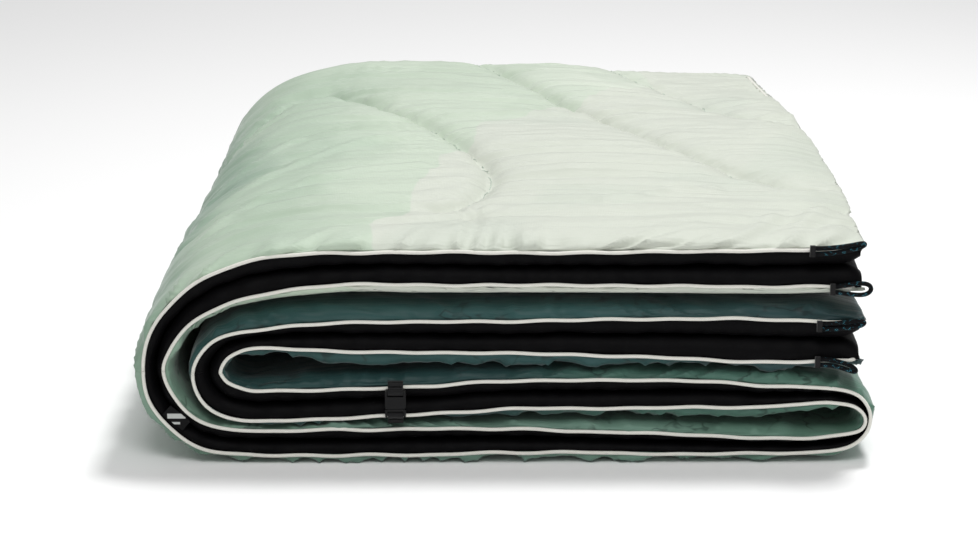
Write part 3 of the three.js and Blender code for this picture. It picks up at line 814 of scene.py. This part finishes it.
def make_stitches():
    spots = []
    for line in QUILT_LINES[:3]:
        p = spline(line, 60)
        p = p[p[:, 0] < SPLIT_TOP_U]
        run = np.concatenate([[0], np.cumsum(np.linalg.norm(np.diff(p, axis=0), axis=1))])
        starts = np.arange(0.004, run[-1] - 0.004, STITCH_PITCH)
        s = starts[:, None] + np.linspace(0, STITCH, 4)
        spots.append(np.stack([np.interp(s, run, p[:, 0]), np.interp(s, run, p[:, 1])], axis=-1))
    spots = np.concatenate(spots)
    centres, normals = shell_spots(spots[..., 0], spots[..., 1])
    centres = centres + normals * (THREAD_R * np.array([0.3, 1.6, 1.6, 0.3]))[:, None]
    points = np.concatenate([tube_points(c, THREAD_R, 6).reshape(-1, 3) for c in centres])
    ring, side = np.meshgrid(np.arange(3), np.arange(6), indexing="ij")
    a, b = (6 * ring + side).ravel(), (6 * ring + (side + 1) % 6).ravel()
    one = np.stack([a, b, b + 6, a + 6], axis=1)
    quads = np.concatenate([one + 24 * k for k in range(len(centres))])
    thread = mesh_object("quilting_stitches", points, quads, material=MATERIALS["quilt_thread"])
    settle(thread, "top_flap")


make_stitches()


# ---------------------------------------------------------------- piping
def seam_route(us, side):
    x, z, nx, nz, seam, _, _ = PATH.at(us)
    wander = 0.0003 * np.sin(us * 150) + 0.0005 * noise(us * 30, 0 * us, 71)
    n = side * (seam + wander)
    y = PIPING_Y + 0.0003 * noise(us * 33, 0 * us + 3, 72)
    return np.stack([x + nx * n, y, z + nz * n], axis=1)


def flap_edge_route(us, end_u):
    """Along the front seam, round the corner, across the end, round the back fold and home."""
    out = seam_route(us, 1)
    home = seam_route(us, -1)
    if end_u == 0:
        out, home = out[::-1], home[::-1]
    x, z, _, nz, seam, _, _ = [float(c) for c in PATH.at(end_u)]
    ys = np.linspace(SEAM_Y + 0.003, BACK_Y - BACK_BEND, 70)
    turn = np.linspace(0, math.pi, 15)[1:-1]
    across_y = np.concatenate([ys, BACK_Y - BACK_BEND * (1 - 0.6 * np.sin(turn)), ys[::-1]])
    near = end_seam(seam, ys)
    level = np.concatenate([near, end_seam(seam, BACK_Y) * np.cos(turn), -near[::-1]])
    edge_x = x + 0.0012 + end_shift(np.full(len(across_y), end_u), across_y)
    side = np.stack([edge_x, across_y, z + nz * level], axis=1)
    return np.vstack([out[:-2], side, home[::-1][2:]])


def make_piping():
    base_us = PANELS[1][1]
    for name, side in (("outer", 1), ("inner", -1)):
        us = np.linspace(base_us[0], base_us[-1], 420)
        cord = tube_object(f"piping_{name}_run", seam_route(us, side), PIPING_R, 12, MATERIALS["piping"])
        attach(cord, "base")
        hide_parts(f"piping_base_{name}")
    for body, end_u, us in (("top_flap", 0, PANELS[0][1]), ("inner_flap", PATH.length, PANELS[2][1])):
        us = np.linspace(us[0], us[-1], 180)
        route = flap_edge_route(us, end_u)
        cord = tube_object(f"piping_edge_{body}", route, PIPING_R, 12, MATERIALS["piping"])
        settle(cord, body)
        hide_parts(f"piping_{body}")


make_piping()

# ---------------------------------------------------------------- carried-over hard pieces
for node, material in {
    "clip_female": "clip", "clip_male": "clip", "prong_left": "clip", "prong_right": "clip",
    "webbing_upper": "webbing", "webbing_lower": "webbing", "webbing_tack_upper": "thread",
    "webbing_tack_lower": "thread", "loop_tack_a": "thread", "loop_tack_b": "thread", "loop_tack_c": "thread",
    "loop_tack_d": "thread", "woven_label": "label",
}.items():
    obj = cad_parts[node]
    obj.data.materials.clear()
    obj.data.materials.append(MATERIALS[material])
    rounding = obj.modifiers.new("rounding", "BEVEL")
    rounding.width = 0.00025
    rounding.segments = 3
    rounding.limit_method = "ANGLE"


# ---------------------------------------------------------------- floor and light
def make_stage():
    bpy.ops.mesh.primitive_plane_add(size=14, location=(0, 0, 0))
    floor = bpy.context.object
    floor.name = "floor"
    n = Nodes("floor_paper")
    n.set(Base_Color=(0.97, 0.97, 0.97, 1), Roughness=0.9, Specular_IOR_Level=0.0)
    floor.data.materials.append(n.material)
    world = bpy.data.worlds.new("studio")
    world.use_nodes = True
    world.node_tree.nodes["Background"].inputs[0].default_value = (1, 1, 1, 1)
    world.node_tree.nodes["Background"].inputs[1].default_value = 0.33
    bpy.context.scene.world = world
    for name, place, aim, size, power in (
        ("overhead", (0.50, 0.25, 2.2), (0.0, 0.0, 0.1), 0.45, 31),
        ("front_overhead", (0.1, -1.7, 2.0), (0.0, -0.6, 0.0), 1.0, 21),
        ("floor_behind", (0.0, 4.2, 2.6), (0.0, 4.0, 0.0), 2.5, 40),
    ):
        data = bpy.data.lights.new(name, "AREA")
        data.energy = power
        data.size = size
        light = bpy.data.objects.new(name, data)
        light.location = place
        light.rotation_euler = (Vector(aim) - Vector(place)).to_track_quat("-Z", "Y").to_euler()
        bpy.context.scene.collection.objects.link(light)
    bpy.context.scene.view_settings.view_transform = "Standard"


make_stage()
